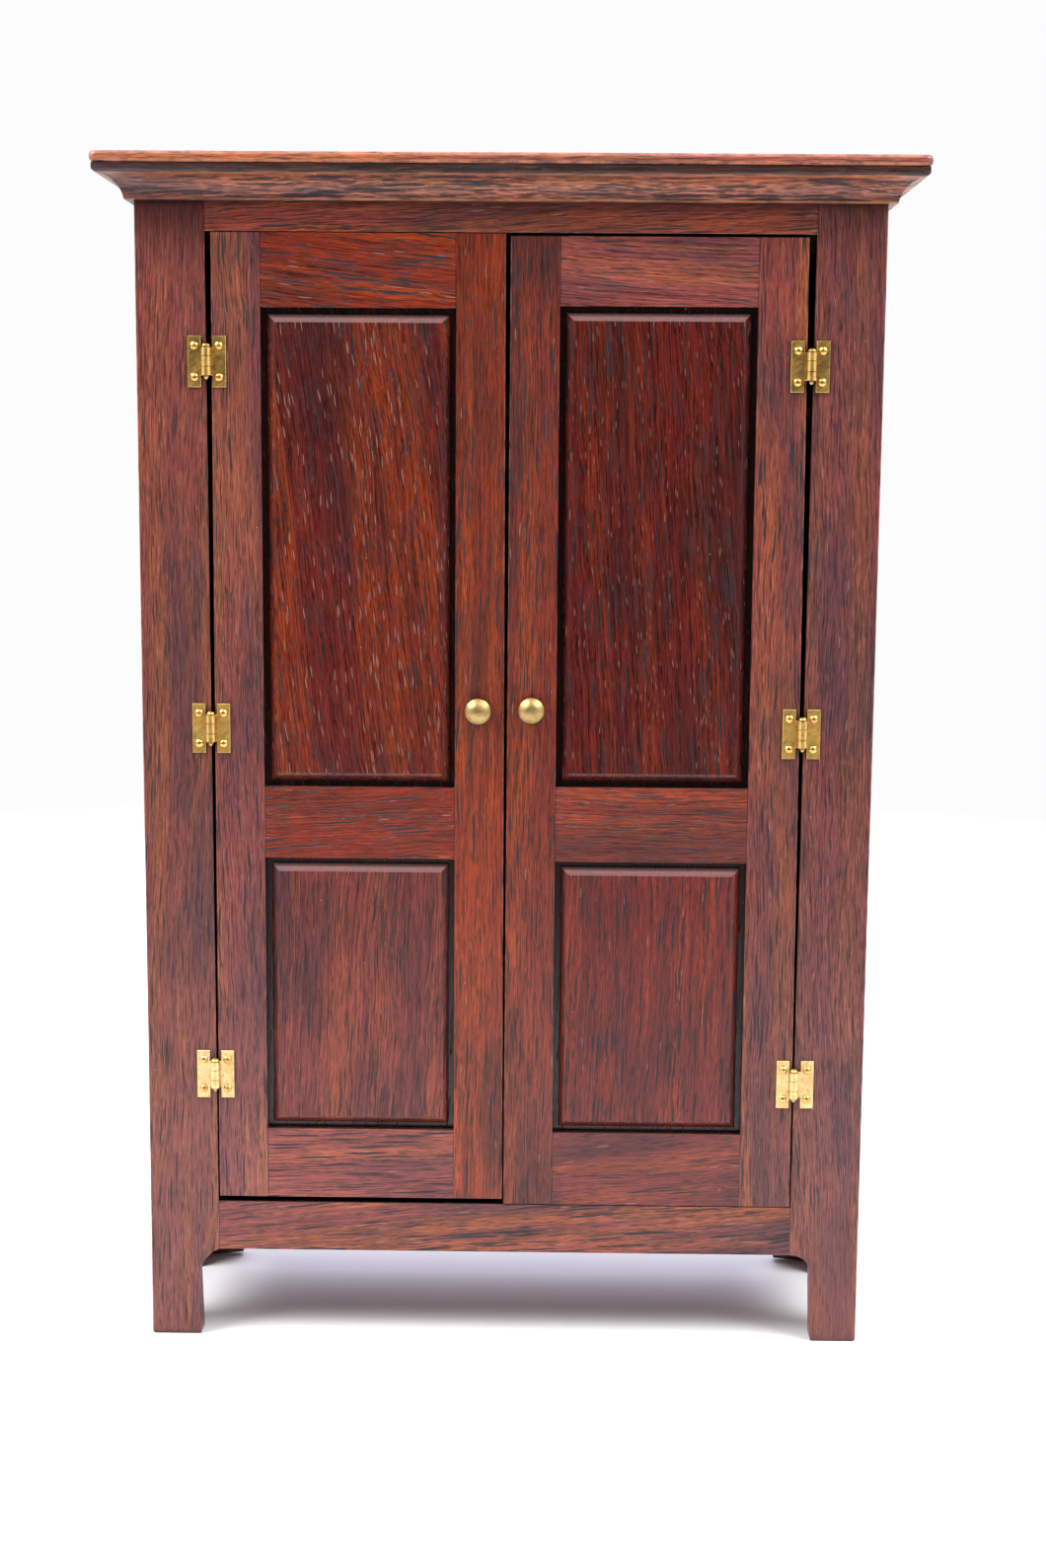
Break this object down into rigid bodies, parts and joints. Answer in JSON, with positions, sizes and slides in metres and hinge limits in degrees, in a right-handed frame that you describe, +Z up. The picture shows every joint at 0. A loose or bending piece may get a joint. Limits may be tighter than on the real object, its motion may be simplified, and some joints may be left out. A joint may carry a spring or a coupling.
{
  "type": "miniature wardrobe",
  "caption": "Dolls' house wardrobe with framed, raised-panel doors on surface brass hinges, domed knobs, a cove cornice with bullnosed top and bracket feet.",
  "frame": {"origin": "centre of the footprint's bounding box, on the floor under the feet", "axes": "+Z up; -Y is the front, where the doors are; +X to the right as one faces the doors"},
  "size_m": [0.1256, 0.0438, 0.1865],
  "materials": {
    "mahogany_frame": "stained mahogany under satin lacquer, open dark pores along the grain",
    "mahogany_panel": "darker stained mahogany under a glossier lacquer",
    "mahogany_cove": "streaky brown mahogany moulding under thin satin lacquer",
    "mahogany_top": "red-brown mahogany, rubbed lighter along the rounded edge",
    "mahogany_side": "stained mahogany board under satin lacquer",
    "mahogany_inside": "thinly stained mahogany, matt",
    "hinge_brass": "stamped sheet brass, dulled, with bright sheared edges",
    "hinge_pin_brass": "drawn brass wire, dulled",
    "nail_brass": "round-headed brass pins, bright",
    "knob_brass": "turned brass, finely scratched and slightly dull"
  },
  "bodies": {
    "carcass": {"back_panel": "mahogany_inside", "bottom_board": "mahogany_inside", "cove_front": "mahogany_cove", "cove_left": "mahogany_cove", "cove_right": "mahogany_cove", "door_stop": "mahogany_inside", "face_bottom_rail": "mahogany_frame", "face_stile_left": "mahogany_frame", "face_stile_right": "mahogany_frame", "face_top_rail": "mahogany_frame", "hanging_rod": "mahogany_inside", "hat_shelf": "mahogany_inside", "hinge_left_bottom_frame_leaf": "hinge_brass", "hinge_left_bottom_pin": "hinge_pin_brass", "hinge_left_middle_frame_leaf": "hinge_brass", "hinge_left_middle_pin": "hinge_pin_brass", "hinge_left_top_frame_leaf": "hinge_brass", "hinge_left_top_pin": "hinge_pin_brass", "hinge_right_bottom_frame_leaf": "hinge_brass", "hinge_right_bottom_pin": "hinge_pin_brass", "hinge_right_middle_frame_leaf": "hinge_brass", "hinge_right_middle_pin": "hinge_pin_brass", "hinge_right_top_frame_leaf": "hinge_brass", "hinge_right_top_pin": "hinge_pin_brass", "nails_left_frame": "nail_brass", "nails_right_frame": "nail_brass", "side_panel_left": "mahogany_side", "side_panel_right": "mahogany_side", "top_board": "mahogany_top"},
    "left_door": {"hinge_left_bottom_door_leaf": "hinge_brass", "hinge_left_middle_door_leaf": "hinge_brass", "hinge_left_top_door_leaf": "hinge_brass", "left_door_bottom_rail": "mahogany_frame", "left_door_inner_stile": "mahogany_frame", "left_door_knob": "knob_brass", "left_door_lock_rail": "mahogany_frame", "left_door_lower_panel": "mahogany_panel", "left_door_outer_stile": "mahogany_frame", "left_door_top_rail": "mahogany_frame", "left_door_upper_panel": "mahogany_panel", "nails_left_door": "nail_brass"},
    "right_door": {"hinge_right_bottom_door_leaf": "hinge_brass", "hinge_right_middle_door_leaf": "hinge_brass", "hinge_right_top_door_leaf": "hinge_brass", "nails_right_door": "nail_brass", "right_door_bottom_rail": "mahogany_frame", "right_door_inner_stile": "mahogany_frame", "right_door_knob": "knob_brass", "right_door_lock_rail": "mahogany_frame", "right_door_lower_panel": "mahogany_panel", "right_door_outer_stile": "mahogany_frame", "right_door_top_rail": "mahogany_frame", "right_door_upper_panel": "mahogany_panel"}
  },
  "joints": [
    {"name": "left_door_hinge", "type": "hinge", "parent": "carcass", "child": "left_door", "pos_m": [-0.0463, -0.01695, 0.0994], "axis": [0, 0, -1], "range_deg": [0, 165]},
    {"name": "right_door_hinge", "type": "hinge", "parent": "carcass", "child": "right_door", "pos_m": [0.04605, -0.01695, 0.09925], "axis": [0, 0, 1], "range_deg": [0, 165]}
  ]
}
